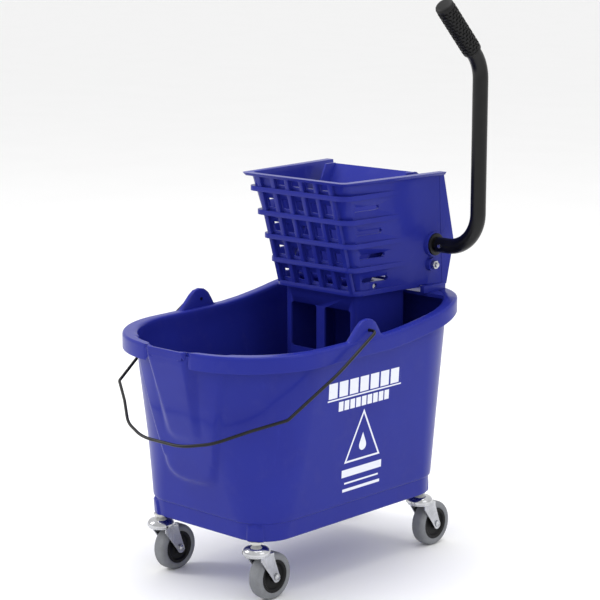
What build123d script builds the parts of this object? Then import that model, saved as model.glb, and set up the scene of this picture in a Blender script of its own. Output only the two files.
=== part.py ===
"""Mop bucket on four swivel casters with a lift-off side-press wringer.

Working frame, in millimetres: the floor is z = 0, the bucket's mid-plane is x = 0, the middle of the
wheelbase is y = 0, the pouring lip points to -Y and the press lever stands on the +X side.
Each finished piece is moved to the part's own frame, whose origin is on the floor below the middle
of the whole object, just before it is written.
"""
from build123d import *
import math
import os

os.makedirs("parts", exist_ok=True)

# ---------------------------------------------------------------- driving dimensions
# Bucket body
WALL = 4.0
FLOOR_Z = 101.0
LEDGE_Z = 131.0
SKIRT_Z = 384.0
TOP_Z = 446.0
# Height, half width, front face, rear face, front corner radius and rear corner radius of each section
FOOT_SECTIONS = (
    (FLOOR_Z, 139.5, -206, 228, 56, 60),
    (LEDGE_Z, 141.5, -210, 229, 62, 63),
)
BODY_SECTIONS = (
    (LEDGE_Z, 144.5, -213, 232, 66, 66),
    (235, 157.6, -232, 242, 103, 87),
    (SKIRT_Z, 177.8, -261, 256, 148, 118),
    (TOP_Z, 179.0, -263, 257, 149, 119),
)
# Rim
RIM_HALF_WIDTH = 194.0
RIM_FRONT = -277.0
RIM_REAR = 277.0
RIM_FRONT_CORNER = 150.0
RIM_REAR_CORNER = 130.0
RIM_DROP = 26.0
RIM_THICKNESS = 5.0
SKIRT_THICKNESS = 4.0
RIM_FRONT_END = (-300, 405.5)
RIM_RISE = ((30, 410), (110, 419), (160, 428), (215, 438.5))
RIM_REAR_END = (300, 439.3)
SEAT_Z = 439.2
SHELF_FRONT = 206.0
# Ears that carry the bail
BAIL_Y = -25.0
BAIL_Z = 423.0
BAIL_WIRE = 5.2
BAIL_HOLE = 5.4
BAIL_DROOP = 31.5
EAR_INNER = 182.0
EAR_OUTER = 192.0
# Wringer
BASKET_TOP = 641.0
BASKET_BOTTOM = 448.0
BASKET_WALL = 4.0
SKEW_TOP = ((10, 105), (235, 124))
SKEW_BOTTOM = ((67, 82), (257, 116))
GRID_COLUMNS = 5
GRID_ROWS = 5
GRID_PITCH_X = 31.5
GRID_PITCH_Z = 40.5
TOP_RIB_Z = 619.0
RIB_DEPTH = 7.0
RIB_THICKNESS = 8.0
BAR_WIDTH = 8.5
INNER_HOLE_WIDTH = 17.0
INNER_HOLE_HEIGHT = 16.0
RIB_REACH = 130.0
CHUTE_HALF_WIDTH = 80.0
CHUTE_FRONT = 73.0
CHUTE_REAR = 196.0
CHUTE_BOTTOM = 300.0
BASKET_REAR_WELL = 200.0
# Press plate and its drive
PLATE_PIVOT_Y = 105.0
PLATE_PIVOT_Z = 462.0
PLATE_LENGTH = 205.0
PLATE_LEAN = 31.0
HINGE_ROD = 9.0
PLATE_RATIO = 0.65
SHAFT_Y = 224.0
SHAFT_Z = 520.0
SHAFT_DIAMETER = 20.0
CRANK_RADIUS = 90.0
CRANK_LEAN = 10.0
SHAFT_CLEARANCE = 0.05
LEVER_TRAVEL = 64.0
ROLLER_DIAMETER = 12.0
CAM_CLEARANCE = 0.5
CAM_X = 61.0
CAM_THICKNESS = 10.0
ARM_X = 70.5
ARM_THICKNESS = 6.0
# Lever
TUBE_DIAMETER = 25.4
TUBE_WALL = 2.5
LEVER_X = 208.6
LEVER_ELBOW_Z = 822.0
GRIP_DIAMETER = 32.0
# Casters
WHEEL_RADIUS = 38.1
WHEEL_WIDTH = 24.0
TRAIL = 29.8
FRONT_STEM = (108.4, -193.5)
REAR_STEM = (118.2, 193.6)
STEM_DIAMETER = 11.0
CROWN_Z = 77.5
COLUMN_RADIUS = 15.0
SOCKET_RADIUS = 8.1
SOCKET_DEPTH = 42.0
ANCHOR_BOLT = 8.0

# The part's origin: below the middle of the box round the whole object
BAIL_SIDE_REACH = 209.52
BAIL_FRONT_REACH = -293.62
HOOK_REACH = RIM_REAR + 5
MIDDLE_X = (LEVER_X + GRIP_DIAMETER / 2 - BAIL_SIDE_REACH) / 2
MIDDLE_Y = (HOOK_REACH + BAIL_FRONT_REACH) / 2


def write(piece, name):
    """Move a finished piece to the part's frame, label it and write its file."""
    piece.part = piece.part.moved(Location((-MIDDLE_X, -MIDDLE_Y, 0)))
    piece.part.label = name
    export_step(piece.part, f"parts/{name}.step")


# ---------------------------------------------------------------- bucket
def plan(z, half_width, front, rear, front_corner, rear_corner, inset=0.0):
    """Rounded plan of the bucket at one height, drawn in by an inset."""
    with BuildSketch(Plane.XY.offset(z)) as outline:
        with Locations((0, (front + rear) / 2)):
            Rectangle(2 * (half_width - inset), rear - front - 2 * inset)
        fillet(outline.vertices().group_by(Axis.Y)[0], front_corner - inset)
        fillet(outline.vertices().group_by(Axis.Y)[-1], rear_corner - inset)
    return outline.sketch


def rim_plan(z, inset=0.0):
    """Plan of the rim's outer edge, drawn in by an inset."""
    return plan(z, RIM_HALF_WIDTH, RIM_FRONT, RIM_REAR, RIM_FRONT_CORNER, RIM_REAR_CORNER, inset)


def under_rim_line(lowered):
    """Side view of everything below the rim's wavy top line, lowered by a distance."""
    front_y, front_z = RIM_FRONT_END
    rear_y, rear_z = RIM_REAR_END
    rise = [(y, z - lowered) for y, z in RIM_RISE]
    with BuildSketch(Plane.YZ) as region:
        with BuildLine():
            Line((front_y, front_z - lowered), rise[0])
            Spline(*rise, tangents=[(1, 0.014), (1, 0.01)])
            Polyline(rise[-1], (rear_y, rear_z - lowered), (rear_y, 0), (front_y, 0), (front_y, front_z - lowered))
        make_face()
    return region.sketch


def rim_slab(inset, top_lowered, bottom_lowered):
    """Band of the rim plan between two copies of the rim line."""
    with BuildPart() as slab:
        extrude(rim_plan(300, inset), amount=200)
        extrude(under_rim_line(top_lowered), amount=300, both=True, mode=Mode.INTERSECT)
        extrude(under_rim_line(bottom_lowered), amount=300, both=True, mode=Mode.SUBTRACT)
    return slab.part


SPOUT_HALF_WIDTH = 40.0
SPOUT_FACE = -283.0


def spout_section(z, half_width, face, corner, inset=0.0):
    """Plan of the pouring channel at one height."""
    back = -200.0
    with BuildSketch(Plane.XY.offset(z)) as section:
        with Locations((0, (face + inset + back) / 2)):
            Rectangle(2 * (half_width - inset), back - face - inset)
        fillet(section.vertices().group_by(Axis.Y)[0], corner)
    return section.sketch


rim_skirt_band = rim_slab(0, 0, RIM_DROP)
rim_hollow = rim_slab(SKIRT_THICKNESS, RIM_THICKNESS, RIM_DROP + 1)

with BuildPart() as skirt:
    add(rim_skirt_band)
    add(rim_hollow, mode=Mode.SUBTRACT)
    # The skirt stops either side of the pouring lip
    with Locations((0, -290, 400)):
        Box(2 * SPOUT_HALF_WIDTH, 80, 100, mode=Mode.SUBTRACT)

with BuildPart() as above:
    with Locations((0, 0, 500)):
        Box(600, 590, 300)
    extrude(under_rim_line(0), amount=301, both=True, mode=Mode.SUBTRACT)

with BuildPart() as shelf:
    extrude(plan(SEAT_Z - 6, *BODY_SECTIONS[-1][1:], inset=WALL - 1), amount=5.8)
    with Locations((0, SHELF_FRONT - 500, SEAT_Z)):
        Box(1000, 1000, 100, mode=Mode.SUBTRACT)

with BuildPart() as bucket:
    # Foot, tapered body, then the pouring channel that swells out of its front
    loft(sections=[plan(*section) for section in FOOT_SECTIONS], ruled=True)
    loft(sections=[plan(*section) for section in BODY_SECTIONS], ruled=True)
    loft(sections=[spout_section(178, 52, -225, 20), spout_section(300, 74, -251, 30),
                   spout_section(SKIRT_Z, 90, -267, 38)], ruled=True)
    loft(sections=[spout_section(246, 34, -243, 16), spout_section(SKIRT_Z, 44, -278, 16),
                   spout_section(TOP_Z, 46, SPOUT_FACE - 1, 16)], ruled=True)
    add(skirt.part)
    # Inside of the body, the channel and the lip
    loft(sections=[plan(FLOOR_Z + WALL, *FOOT_SECTIONS[0][1:], inset=WALL),
                   plan(LEDGE_Z, *FOOT_SECTIONS[1][1:], inset=WALL)], ruled=True, mode=Mode.SUBTRACT)
    loft(sections=[plan(*section, inset=WALL) for section in BODY_SECTIONS],
         ruled=True, mode=Mode.SUBTRACT)
    loft(sections=[spout_section(250, 34, -243, 12, WALL), spout_section(SKIRT_Z, 44, -278, 12, WALL),
                   spout_section(TOP_Z, 46, SPOUT_FACE - 1, 12, WALL)], ruled=True, mode=Mode.SUBTRACT)
    add(above.part, mode=Mode.SUBTRACT)
    # Shelf across the rear that the wringer stands on
    add(shelf.part)
    # Ears
    for side in (-1, 1):
        with BuildSketch(Plane.YZ.offset(side * (EAR_INNER + EAR_OUTER) / 2)):
            with BuildLine():
                Polyline((-78, 396), (-70, 409), (-47, 432))
                ThreePointArc((-47, 432), (BAIL_Y - 2, 441), (-7, 432))
                Polyline((-7, 432), (6, 411), (14, 396), (-78, 396))
            make_face()
        extrude(amount=(EAR_OUTER - EAR_INNER) / 2, both=True)
    # Corner columns that take the caster stems
    for x, y in (FRONT_STEM, REAR_STEM):
        for side in (-1, 1):
            with BuildSketch(Plane.XY.offset(FLOOR_Z)):
                with Locations((side * x, y)):
                    Circle(COLUMN_RADIUS)
            extrude(amount=SOCKET_DEPTH + WALL)
    # Holes for the bail and sockets for the casters
    with BuildSketch(Plane.YZ):
        with Locations((BAIL_Y, BAIL_Z)):
            Circle(BAIL_HOLE / 2)
    extrude(amount=300, both=True, mode=Mode.SUBTRACT)
    for x, y in (FRONT_STEM, REAR_STEM):
        for side in (-1, 1):
            with BuildSketch(Plane.XY.offset(FLOOR_Z)):
                with Locations((side * x, y)):
                    Circle(SOCKET_RADIUS)
            extrude(amount=SOCKET_DEPTH, mode=Mode.SUBTRACT)
write(bucket, "bucket")


# ---------------------------------------------------------------- bail
droop = math.radians(BAIL_DROOP)
bail_plane = Plane(origin=(0, BAIL_Y, BAIL_Z), x_dir=(1, 0, 0), z_dir=(0, math.sin(droop), -math.cos(droop)))
# Half of the bent wire: across, then along the bail, from the ear to the middle
BAIL_HALF = ((176, 0), (207, 0), (206, 100), (191.5, 210), (140, 250), (90, 291), (42, 312))

with BuildPart() as bail:
    with BuildLine(bail_plane):
        far_side = [(-x, along) for x, along in BAIL_HALF]
        wire_path = FilletPolyline(*far_side, *reversed(BAIL_HALF), radius=9)
    with BuildSketch(Plane(origin=wire_path @ 0, z_dir=wire_path % 0)):
        Circle(BAIL_WIRE / 2)
    sweep()
write(bail, "bail")


# ---------------------------------------------------------------- wringer housing
def skew_point(z, station):
    """Depth and half width of the basket's side wall at its front (0) or rear (1) at one height."""
    share = (BASKET_TOP - z) / (BASKET_TOP - BASKET_BOTTOM)
    y_top, x_top = SKEW_TOP[station]
    y_bottom, x_bottom = SKEW_BOTTOM[station]
    return y_top + share * (y_bottom - y_top), x_top + share * (x_bottom - x_top)


def basket_plan(z, outset=0.0, corner=16.0, rear_extra=0.0):
    """Plan of the basket at one height: narrower at the front, rounded front corners."""
    front_y, front_x = skew_point(z, 0)
    rear_y, rear_x = skew_point(z, 1)
    with BuildSketch(Plane.XY.offset(z)) as section:
        with BuildLine():
            Polyline((-front_x - outset, front_y - outset), (front_x + outset, front_y - outset),
                     (rear_x + outset, rear_y + rear_extra), (-rear_x - outset, rear_y + rear_extra),
                     (-front_x - outset, front_y - outset))
        make_face()
        fillet(section.vertices().group_by(Axis.Y)[0], corner + outset)
    return section.sketch


def rib_plan(z):
    """Plan of a rib: proud of the basket's front corners, sinking into the side walls further back."""
    front_y, front_x = skew_point(z, 0)
    rear_y, rear_x = skew_point(z, 1)
    end_y = front_y + RIB_REACH
    end_x = front_x + (rear_x - front_x) * RIB_REACH / (rear_y - front_y) - 1
    with BuildSketch(Plane.XY.offset(z)) as section:
        with BuildLine():
            Polyline((-front_x - RIB_DEPTH, front_y - RIB_DEPTH), (front_x + RIB_DEPTH, front_y - RIB_DEPTH),
                     (end_x, end_y), (-end_x, end_y), (-front_x - RIB_DEPTH, front_y - RIB_DEPTH))
        make_face()
        fillet(section.vertices().group_by(Axis.Y)[0], 20)
    return section.sketch


def chute_window(middle_x):
    """Front view of one rounded window in the chute."""
    with BuildSketch(Plane.XZ.offset(-CHUTE_FRONT - 20)) as window:
        with Locations((middle_x, (WINDOW_TOP + WINDOW_BOTTOM) / 2)):
            RectangleRounded(WINDOW_WIDTH, WINDOW_TOP - WINDOW_BOTTOM, 5)
    return window.sketch


def edge_flange(side, z, edge_y):
    """Plan of the rear edge flange at one height, a little proud of the side wall it grows out of."""
    front_y, front_x = skew_point(z, 0)
    rear_y, rear_x = skew_point(z, 1)
    slant = (rear_x - front_x) / (rear_y - front_y)
    root_y = rear_y - 7
    root_x = rear_x - 7 * slant + 0.6
    tip_x = root_x + (edge_y - root_y) * slant
    with BuildSketch(Plane.XY.offset(z)) as section:
        with BuildLine():
            Polyline((side * root_x, root_y), (side * tip_x, edge_y), (side * (tip_x - 3.2), edge_y),
                     (side * (root_x - 3.2), root_y), (side * root_x, root_y))
        make_face()
    return section.sketch


HOOK_HALF_WIDTH = 55.0
FLANGE_CORNER = 2.0
# Height and depth of the rear edge flange, from its foot to its top
FLANGE_LINE = ((BASKET_BOTTOM + 0.7, 259), (522, 270), (BASKET_TOP - 2, 238))
WINDOW_TOP = 421.0
WINDOW_BOTTOM = 345.0
WINDOW_WIDTH = 57.0
WINDOW_X = 37.5
DRAIN_PITCH = 18.0
BOSS_X = 120.0
ANCHOR_Y = 221.0
ANCHOR_Z = 486.0
BUSH_OUTER = 26.0

with BuildPart() as wringer_housing:
    # Basket walls with a flange round the top and five ribs that run round the front corners
    loft(sections=[basket_plan(BASKET_BOTTOM), basket_plan(BASKET_TOP)], ruled=True)
    loft(sections=[basket_plan(BASKET_TOP - 5, 6, FLANGE_CORNER), basket_plan(BASKET_TOP, 9, FLANGE_CORNER)],
         ruled=True)
    for row in range(GRID_ROWS):
        rib_top = TOP_RIB_Z - row * GRID_PITCH_Z
        extrude(rib_plan(rib_top), amount=-RIB_THICKNESS)
    # Upright bars between the columns of holes, on the sloping front
    top_y = skew_point(BASKET_TOP - 3, 0)[0]
    foot_y = skew_point(BASKET_BOTTOM + 6, 0)[0]
    for column in range(GRID_COLUMNS + 1):
        with BuildSketch(Plane.YZ.offset((column - GRID_COLUMNS / 2) * GRID_PITCH_X)):
            with BuildLine():
                Polyline((top_y - RIB_DEPTH + 1, BASKET_TOP - 3), (top_y + 1, BASKET_TOP - 3),
                         (foot_y + 1, BASKET_BOTTOM + 6), (foot_y - RIB_DEPTH + 1, BASKET_BOTTOM + 6),
                         (top_y - RIB_DEPTH + 1, BASKET_TOP - 3))
            make_face()
        extrude(amount=BAR_WIDTH / 2, both=True)
    # Round bosses for the press shaft and the spring anchors
    for side in (-1, 1):
        for y, z, radius, reach in ((SHAFT_Y, SHAFT_Z, 21, BOSS_X), (ANCHOR_Y, ANCHOR_Z, 11, BOSS_X - 1)):
            with BuildSketch(Plane.YZ.offset(side * reach)):
                with Locations((y, z)):
                    Circle(radius)
            extrude(amount=-side * 20)
    # Rear skirts of the side walls, down to the seat on the bucket's shelf
    seat_y, seat_x = skew_point(BASKET_BOTTOM, 1)
    with BuildSketch(Plane.XY.offset(SEAT_Z)):
        with Locations((0, (BASKET_REAR_WELL + seat_y) / 2)):
            Rectangle(2 * seat_x + 1.6, seat_y - BASKET_REAR_WELL)
    extrude(amount=BASKET_BOTTOM - SEAT_Z + WALL - 1)
    # Chute below the basket
    with BuildSketch(Plane.XY.offset(CHUTE_BOTTOM)):
        with Locations((0, (CHUTE_FRONT + CHUTE_REAR) / 2)):
            RectangleRounded(2 * CHUTE_HALF_WIDTH, CHUTE_REAR - CHUTE_FRONT, 8)
    extrude(amount=BASKET_BOTTOM - CHUTE_BOTTOM + 1)
    # The hollow of the basket, open at the rear, and the well behind its floor
    loft(sections=[basket_plan(BASKET_BOTTOM + WALL, -BASKET_WALL, 16, 20),
                   basket_plan(BASKET_TOP + 1, -BASKET_WALL, 16, 20)], ruled=True, mode=Mode.SUBTRACT)
    with BuildSketch(Plane.XY.offset(SEAT_Z - 1)):
        with Locations((0, (BASKET_REAR_WELL + seat_y + 20) / 2)):
            Rectangle(2 * (seat_x - 7), seat_y + 20 - BASKET_REAR_WELL)
    extrude(amount=BASKET_BOTTOM - SEAT_Z + 1 + WALL, mode=Mode.SUBTRACT)
    # The hollow of the chute and the drain slots over it
    with BuildSketch(Plane.XY.offset(CHUTE_BOTTOM - 1)):
        with Locations((0, (CHUTE_FRONT + CHUTE_REAR) / 2)):
            RectangleRounded(2 * (CHUTE_HALF_WIDTH - WALL), CHUTE_REAR - CHUTE_FRONT - 2 * WALL, 4)
    extrude(amount=BASKET_BOTTOM - CHUTE_BOTTOM + 1, mode=Mode.SUBTRACT)
    with BuildSketch(Plane.XY.offset(BASKET_BOTTOM - 1)):
        with Locations((0, (CHUTE_FRONT + CHUTE_REAR) / 2)):
            with GridLocations(DRAIN_PITCH, 0, 7, 1):
                SlotOverall(104, 9, rotation=90)
    extrude(amount=WALL + 2, mode=Mode.SUBTRACT)
    # Square holes of the inner wall, one behind each opening of the lattice
    for row in range(GRID_ROWS):
        hole_height = INNER_HOLE_HEIGHT if row else INNER_HOLE_HEIGHT - 6
        with BuildSketch(Plane.XZ.offset(-85)):
            with Locations((0, TOP_RIB_Z - row * GRID_PITCH_Z + 6 + hole_height / 2)):
                with GridLocations(GRID_PITCH_X, 0, GRID_COLUMNS, 1):
                    RectangleRounded(INNER_HOLE_WIDTH, hole_height, 1.5)
        extrude(amount=90, mode=Mode.SUBTRACT)
    # Drain slots in the side walls behind the corner
    for row in range(1, GRID_ROWS):
        slot_z = TOP_RIB_Z - row * GRID_PITCH_Z + 16.5
        slot_y = skew_point(slot_z, 0)[0] + 44
        with BuildSketch(Plane.YZ):
            with Locations((slot_y, slot_z)):
                SlotOverall(54, 8)
        extrude(amount=200, both=True, mode=Mode.SUBTRACT)
    for side in (-1, 1):
        extrude(chute_window(side * WINDOW_X), amount=30, mode=Mode.SUBTRACT)
    # Bores for the press shaft bushes, the anchor bolts and the plate's hinge rod
    with BuildSketch(Plane.YZ):
        with Locations((SHAFT_Y, SHAFT_Z)):
            Circle(BUSH_OUTER / 2)
        with Locations((ANCHOR_Y, ANCHOR_Z)):
            Circle(ANCHOR_BOLT / 2)
        with Locations((PLATE_PIVOT_Y, PLATE_PIVOT_Z)):
            Circle(HINGE_ROD / 2)
    extrude(amount=200, both=True, mode=Mode.SUBTRACT)
    # Cross bar between the skirts, and a hook in its middle that drops behind the bucket's rear rim
    with BuildSketch(Plane.XY.offset(SEAT_Z + 1)):
        with Locations((0, seat_y - 3)):
            Rectangle(2 * (seat_x - 2), 5)
    extrude(amount=4)
    with BuildSketch(Plane.YZ):
        with BuildLine():
            Polyline((seat_y - 4, SEAT_Z + 1.4), (RIM_REAR + 1, SEAT_Z + 1.4), (RIM_REAR + 1, SEAT_Z - 14),
                     (HOOK_REACH, SEAT_Z - 14), (HOOK_REACH, SEAT_Z + 4.6), (seat_y - 4, SEAT_Z + 4.6),
                     (seat_y - 4, SEAT_Z + 1.4))
        make_face()
    extrude(amount=HOOK_HALF_WIDTH, both=True)
    # Flange along the rear edge of each side wall, deepest at the height of the press shaft
    for side in (-1, 1):
        loft(sections=[edge_flange(side, z, edge_y) for z, edge_y in FLANGE_LINE], ruled=True)
write(wringer_housing, "wringer_housing")


# ---------------------------------------------------------------- press plate
def plate_point(along, off, lean=PLATE_LEAN):
    """Depth and height of a point given along the plate from its pivot and off its middle plane."""
    angle = math.radians(lean)
    return (PLATE_PIVOT_Y + along * math.sin(angle) + off * math.cos(angle),
            PLATE_PIVOT_Z + along * math.cos(angle) - off * math.sin(angle))


def roller_point(lever_angle):
    """Depth and height of the roller's centre when the lever has turned by an angle."""
    turn = math.radians(lever_angle + CRANK_LEAN)
    return SHAFT_Y - CRANK_RADIUS * math.sin(turn), SHAFT_Z + CRANK_RADIUS * math.cos(turn)


def cam_point(lever_angle):
    """The same roller centre, along and off the plate, which has turned with the lever."""
    y, z = roller_point(lever_angle)
    lean = math.radians(PLATE_LEAN - PLATE_RATIO * lever_angle)
    y -= PLATE_PIVOT_Y
    z -= PLATE_PIVOT_Z
    return y * math.sin(lean) + z * math.cos(lean), y * math.cos(lean) - z * math.sin(lean)


def cam_track(width, spare):
    """Side view of the cam track: overlapping slots from one roller position to the next."""
    steps = 6
    angles = [-spare + step * (LEVER_TRAVEL + 2 * spare) / steps for step in range(steps + 1)]
    places = [plate_point(*cam_point(angle)) for angle in angles]
    with BuildSketch(Plane.YZ) as track:
        for (y_a, z_a), (y_b, z_b) in zip(places, places[1:]):
            with Locations(((y_a + y_b) / 2, (z_a + z_b) / 2)):
                SlotCenterToCenter(math.hypot(y_b - y_a, z_b - z_a), width,
                                   rotation=math.degrees(math.atan2(z_b - z_a, y_b - y_a)))
    return track.sketch


PLATE_THICKNESS = 5.0
PLATE_FOOT_WIDTH = 76.0
PLATE_HEAD_WIDTH = 92.0
PLATE_CHEEK = 22.0
BARREL_RADIUS = 8.0
lean_plane = Plane(origin=(0, PLATE_PIVOT_Y, PLATE_PIVOT_Z), x_dir=(1, 0, 0),
                   z_dir=(0, math.cos(math.radians(PLATE_LEAN)), -math.sin(math.radians(PLATE_LEAN))))

with BuildPart() as press_plate:
    # Leaning plate, wider at the top, with a cheek turned forward along each side
    with BuildSketch(lean_plane.offset(-PLATE_THICKNESS / 2)):
        with BuildLine():
            Polyline((-PLATE_FOOT_WIDTH, 0), (PLATE_FOOT_WIDTH, 0), (PLATE_HEAD_WIDTH, -PLATE_LENGTH),
                     (-PLATE_HEAD_WIDTH, -PLATE_LENGTH), (-PLATE_FOOT_WIDTH, 0))
        make_face()
    extrude(amount=PLATE_THICKNESS)
    for side in (-1, 1):
        with BuildSketch(lean_plane.offset(-PLATE_THICKNESS / 2)):
            with BuildLine():
                Polyline((side * PLATE_FOOT_WIDTH, 0), (side * PLATE_HEAD_WIDTH, -PLATE_LENGTH),
                         (side * (PLATE_HEAD_WIDTH - 4), -PLATE_LENGTH), (side * (PLATE_FOOT_WIDTH - 4), 0),
                         (side * PLATE_FOOT_WIDTH, 0))
            make_face()
        extrude(amount=-PLATE_CHEEK)
    # The cheeks end level with the basket's rim
    with Locations((0, PLATE_PIVOT_Y + 60, BASKET_TOP - 1 + 50)):
        Box(300, 300, 100, mode=Mode.SUBTRACT)
    # Two cam ribs behind the plate, each a web round the roller track
    for side in (-1, 1):
        with BuildSketch(Plane.YZ.offset(side * CAM_X)):
            with BuildLine():
                band = ROLLER_DIAMETER / 2 + CAM_CLEARANCE + 6
                top_along, top_off = cam_point(0)
                foot_along, foot_off = cam_point(LEVER_TRAVEL)
                Polyline(plate_point(top_along + band, 0), plate_point(top_along + band, top_off + band - 4),
                         plate_point(top_along + band - 5, top_off + band),
                         plate_point((top_along + foot_along) / 2 + 14, foot_off + 2),
                         plate_point(foot_along, foot_off + band),
                         plate_point(foot_along - band, foot_off + band - 8),
                         plate_point(foot_along - band, foot_off - band),
                         plate_point(foot_along - 40, 0), plate_point(top_along + band, 0))
            make_face()
        extrude(amount=CAM_THICKNESS / 2, both=True)
    for side in (-1, 1):
        track = cam_track(ROLLER_DIAMETER + 2 * CAM_CLEARANCE, 1.5)
        extrude(track, amount=CAM_X + CAM_THICKNESS, both=True, mode=Mode.SUBTRACT)
    # Hinge barrel along the foot
    with BuildSketch(Plane.YZ):
        with Locations((PLATE_PIVOT_Y, PLATE_PIVOT_Z)):
            Circle(BARREL_RADIUS)
    extrude(amount=PLATE_FOOT_WIDTH, both=True)
    with BuildSketch(Plane.YZ):
        with Locations((PLATE_PIVOT_Y, PLATE_PIVOT_Z)):
            Circle(HINGE_ROD / 2 + SHAFT_CLEARANCE)
    extrude(amount=PLATE_FOOT_WIDTH + 1, both=True, mode=Mode.SUBTRACT)
write(press_plate, "press_plate")


def rod(x_start, x_end, y, z, radius, bore=0.0):
    """Round bar or sleeve along X."""
    with BuildPart() as bar:
        with BuildSketch(Plane.YZ.offset(x_start)):
            with Locations((y, z)):
                Circle(radius)
                if bore:
                    Circle(bore, mode=Mode.SUBTRACT)
        extrude(amount=x_end - x_start)
    return bar.part


with BuildPart() as plate_hinge_rod:
    add(rod(-89, 89, PLATE_PIVOT_Y, PLATE_PIVOT_Z, HINGE_ROD / 2))
write(plate_hinge_rod, "plate_hinge_rod")


# ---------------------------------------------------------------- press shaft and cranks
SHAFT_END_X = 129.0
SHAFT_IN_TUBE = 152.0
TUBE_START_X = 125.0
PIN_X = 139.0
PIN_RADIUS = 3.0


def pin_bore():
    """Cross bore through the lever's tube and the end of the shaft, and the pin that fills it."""
    with BuildPart() as bore:
        with BuildSketch(Plane.XZ.offset(-SHAFT_Y - TUBE_DIAMETER / 2 - 1.5)):
            with Locations((PIN_X, SHAFT_Z)):
                Circle(PIN_RADIUS)
        extrude(amount=TUBE_DIAMETER + 3)
    return bore.part


with BuildPart() as press_shaft:
    add(rod(-SHAFT_END_X, SHAFT_IN_TUBE, SHAFT_Y, SHAFT_Z, SHAFT_DIAMETER / 2))
    add(pin_bore(), mode=Mode.SUBTRACT)
write(press_shaft, "press_shaft")

with BuildPart() as shaft_end_cap:
    add(rod(-SHAFT_END_X - 3, -SHAFT_END_X + 4, SHAFT_Y, SHAFT_Z, 14))
    add(rod(-SHAFT_END_X, -SHAFT_END_X + 5, SHAFT_Y, SHAFT_Z, SHAFT_DIAMETER / 2), mode=Mode.SUBTRACT)
write(shaft_end_cap, "shaft_end_cap")

for name, side in (("right", 1), ("left", -1)):
    inner, outer = sorted((side * (BOSS_X - 12), side * BOSS_X))
    flange_inner, flange_outer = sorted((side * BOSS_X, side * (BOSS_X + 4)))
    with BuildPart() as bushing:
        add(rod(inner, outer, SHAFT_Y, SHAFT_Z, BUSH_OUTER / 2))
        add(rod(flange_inner, flange_outer, SHAFT_Y, SHAFT_Z, 18.5))
        add(rod(-200, 200, SHAFT_Y, SHAFT_Z, SHAFT_DIAMETER / 2 + SHAFT_CLEARANCE), mode=Mode.SUBTRACT)
    write(bushing, f"shaft_bushing_{name}")

    with BuildPart() as crank_arm:
        with BuildSketch(Plane.YZ.offset(side * ARM_X)):
            y, z = roller_point(0)
            with Locations(((SHAFT_Y + y) / 2, (SHAFT_Z + z) / 2)):
                SlotCenterToCenter(CRANK_RADIUS, 15, rotation=90 + CRANK_LEAN)
            with Locations((SHAFT_Y, SHAFT_Z)):
                Circle(17)
                Circle(SHAFT_DIAMETER / 2, mode=Mode.SUBTRACT)
            with Locations((y, z)):
                Circle(3, mode=Mode.SUBTRACT)
        extrude(amount=ARM_THICKNESS / 2, both=True)
    write(crank_arm, f"crank_arm_{name}")

with BuildPart() as crank_rollers:
    for side in (-1, 1):
        start, end = sorted((side * (CAM_X - 5), side * (CAM_X + 5.5)))
        add(rod(start, end, *roller_point(0), ROLLER_DIAMETER / 2, bore=3.05))
write(crank_rollers, "crank_rollers")

with BuildPart() as crank_pins:
    for side in (-1, 1):
        start, end = sorted((side * (CAM_X - 5.5), side * (ARM_X + 5)))
        add(rod(start, end, *roller_point(0), 3))
        head, tip = sorted((side * (CAM_X - 5.5), side * (CAM_X - 8)))
        add(rod(head, tip, *roller_point(0), 5))
write(crank_pins, "crank_pins")


# ---------------------------------------------------------------- springs and their anchors
SPRING_WIRE = 3.0
SPRING_RADIUS = 13.5
SPRING_START_X = 80.0
SPRING_LENGTH = 19.0
SPRING_TURNS = 4.25
SPRING_LEG = 40.0

with BuildPart() as return_spring_right:
    # Coil round the shaft, then a straight leg down to the anchor bolt
    with BuildLine():
        coil = Helix(pitch=SPRING_LENGTH / SPRING_TURNS, height=SPRING_LENGTH, radius=SPRING_RADIUS,
                     center=(SPRING_START_X, SHAFT_Y, SHAFT_Z), direction=(1, 0, 0))
        Line(coil @ 1, coil @ 1 + (coil % 1) * SPRING_LEG)
    with BuildSketch(Plane(origin=coil @ 0, z_dir=coil % 0)):
        Circle(SPRING_WIRE / 2)
    sweep()

with BuildPart() as return_spring_left:
    mirror(return_spring_right.part, about=Plane.YZ)
write(return_spring_right, "return_spring_right")
write(return_spring_left, "return_spring_left")

with BuildPart() as anchor_bolts:
    for side in (-1, 1):
        start, end = sorted((side * (BOSS_X - 18), side * (BOSS_X + 9)))
        add(rod(start, end, ANCHOR_Y, ANCHOR_Z, ANCHOR_BOLT / 2))
        start, end = sorted((side * (BOSS_X - 18), side * (BOSS_X - 22)))
        add(rod(start, end, ANCHOR_Y, ANCHOR_Z, 7))
write(anchor_bolts, "anchor_bolts")

with BuildPart() as anchor_nuts:
    for side in (-1, 1):
        with BuildSketch(Plane.YZ.offset(side * (BOSS_X - 1))):
            with Locations((ANCHOR_Y, ANCHOR_Z)):
                RegularPolygon(6.5, 6, major_radius=False)
                Circle(ANCHOR_BOLT / 2, mode=Mode.SUBTRACT)
        extrude(amount=side * 6.5)
write(anchor_nuts, "anchor_nuts")


# ---------------------------------------------------------------- lever
GRIP_LENGTH = 106.0
lever_elbow = Vector(LEVER_X, SHAFT_Y, LEVER_ELBOW_Z)
grip_direction = Vector(0, -1, 1).normalized()
lever_tip = lever_elbow + grip_direction * 134

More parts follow.
